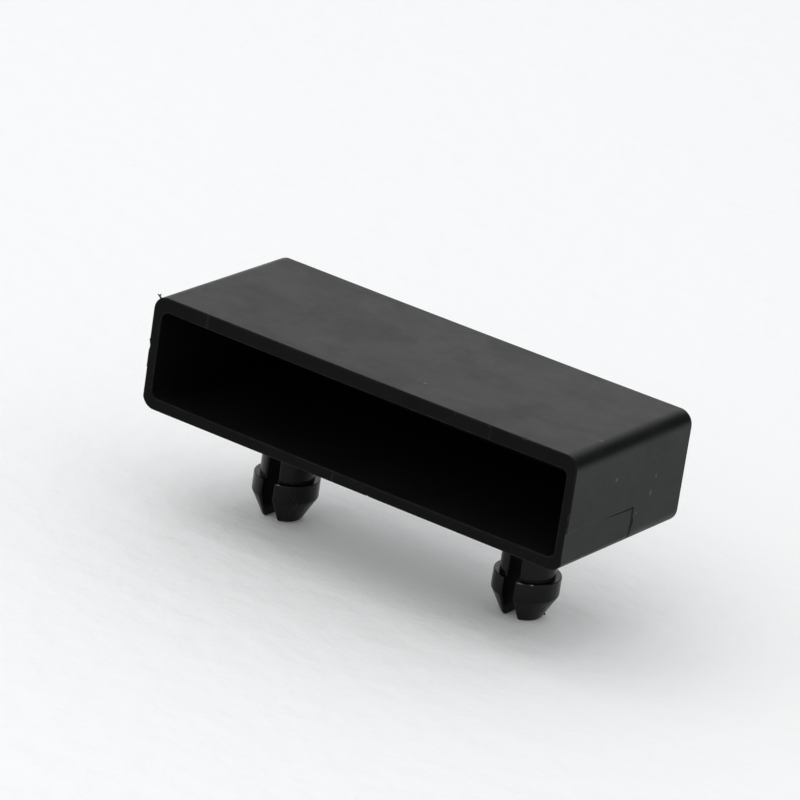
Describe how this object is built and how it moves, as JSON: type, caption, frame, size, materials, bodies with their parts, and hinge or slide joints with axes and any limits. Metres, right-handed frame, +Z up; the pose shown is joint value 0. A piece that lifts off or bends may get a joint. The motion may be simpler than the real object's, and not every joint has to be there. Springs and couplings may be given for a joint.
{
  "type": "profile end cap",
  "caption": "One-piece moulded end cap: a shallow rectangular pocket, closed at the back, for the end of a flat sprung slat, with split snap pins underneath that clip into a rail.",
  "frame": {"origin": "on the flat underside, half way between the axes of the two snap pins", "axes": "+X along the pocket's width, +Y from the open mouth to the closed back, +Z up, away from the snap pins"},
  "size_m": [0.0574, 0.0233, 0.0261],
  "materials": {
    "black_plastic": "satin moulded black"
  },
  "bodies": {
    "root": {"end_cap": "black_plastic"}
  },
  "joints": []
}
